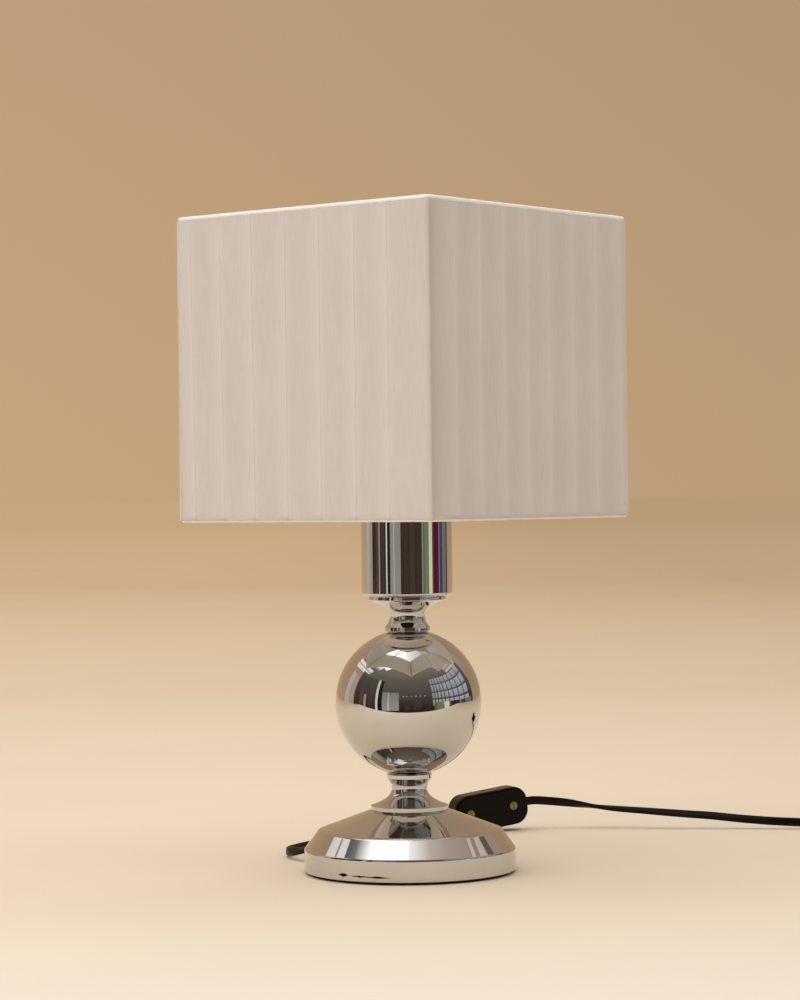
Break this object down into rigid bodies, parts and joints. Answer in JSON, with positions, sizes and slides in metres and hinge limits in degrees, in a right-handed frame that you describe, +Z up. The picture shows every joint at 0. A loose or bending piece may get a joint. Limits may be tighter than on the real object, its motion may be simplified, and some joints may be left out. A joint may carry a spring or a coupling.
{
  "type": "table lamp",
  "caption": "Table lamp with a spun chrome base and ball stem, a square pleated fabric shade on a screw lampholder, and a rocker switch in its cord",
  "frame": {"origin": "on the floor, under the middle of the base", "axes": "+Z is up along the stem; X and Y are square to the shade's sides, with the cord leaving towards -X"},
  "size_m": [0.2539, 0.537, 0.3585],
  "materials": {
    "chrome": "polished",
    "iron": "rough",
    "board": "matt",
    "felt": "felt",
    "black_plastic": "satin",
    "cord": "satin",
    "steel": "plain",
    "brass": "plain",
    "insert": "glazed",
    "white_wire": "white coat",
    "shade_fabric": "fine weave",
    "hem_fabric": "fine weave",
    "opal_glass": "opal",
    "bulb_metal": "rolled"
  },
  "bodies": {
    "stand": {"base_shell": "chrome", "lower_neck": "chrome", "ball": "chrome", "upper_neck": "chrome", "socket_cup": "chrome", "base_weight": "iron", "bottom_cover": "board", "felt_pad": "felt", "cord_bushing": "black_plastic", "bushing_nut": "black_plastic", "holder_cap": "black_plastic", "holder_body": "black_plastic", "holder_ring": "black_plastic", "switch_back": "black_plastic", "switch_front": "black_plastic", "plug_body": "black_plastic", "pin_sleeves": "black_plastic", "coil_tie": "black_plastic", "inner_lead": "cord", "cord_to_switch": "cord", "cord_to_coil": "cord", "cord_coil": "cord", "threaded_tube": "steel", "tube_nuts": "steel", "tube_washers": "steel", "holder_screws": "steel", "rocker_axle": "steel", "clamp_screws": "steel", "plug_pins": "steel", "screw_shell": "brass", "centre_contact": "brass", "holder_terminals": "brass", "case_screws": "brass", "switch_terminals": "brass", "holder_insert": "insert"},
    "rocker": {"switch_rocker": "black_plastic", "rocker_plunger": "brass", "rocker_spring": "steel"},
    "contact": {"contact_plate": "brass"},
    "shade": {"fitter_ring": "white_wire", "fitter_arms": "white_wire", "bottom_frame": "white_wire", "top_frame": "white_wire", "corner_struts": "white_wire", "shade_cover": "shade_fabric", "top_hem": "hem_fabric", "bottom_hem": "shade_fabric"},
    "ring": {"shade_ring": "black_plastic"},
    "bulb": {"bulb_glass": "opal_glass", "bulb_cap": "bulb_metal", "bulb_insulator": "black_plastic", "bulb_contact": "bulb_metal"}
  },
  "joints": [
    {"name": "rocker_tilt", "type": "hinge", "parent": "stand", "child": "rocker", "pos_m": [-0.08183, 0.1745, 0.01344], "axis": [-0.0613, -0.1152, 0.9914], "range_deg": [0, 16]},
    {"name": "contact_tilt", "type": "hinge", "parent": "stand", "child": "contact", "pos_m": [-0.076, 0.1714, 0.01344], "axis": [-0.0613, -0.1152, 0.9914], "range_deg": [-16, 0]},
    {"name": "shade_turn", "type": "hinge", "parent": "stand", "child": "shade", "pos_m": [0, 0, 0.1925], "axis": [0, 0, 1], "continuous": true},
    {"name": "ring_turn", "type": "hinge", "parent": "stand", "child": "ring", "pos_m": [0, 0, 0.1925], "axis": [0, 0, 1], "range_deg": [0, 1080]},
    {"name": "bulb_turn", "type": "hinge", "parent": "stand", "child": "bulb", "pos_m": [0, 0, 0.1925], "axis": [0, 0, 1], "range_deg": [0, 1080]}
  ],
  "couplings": [
    {"joint": "contact_tilt", "follows": "rocker_tilt", "ratio": -1}
  ]
}
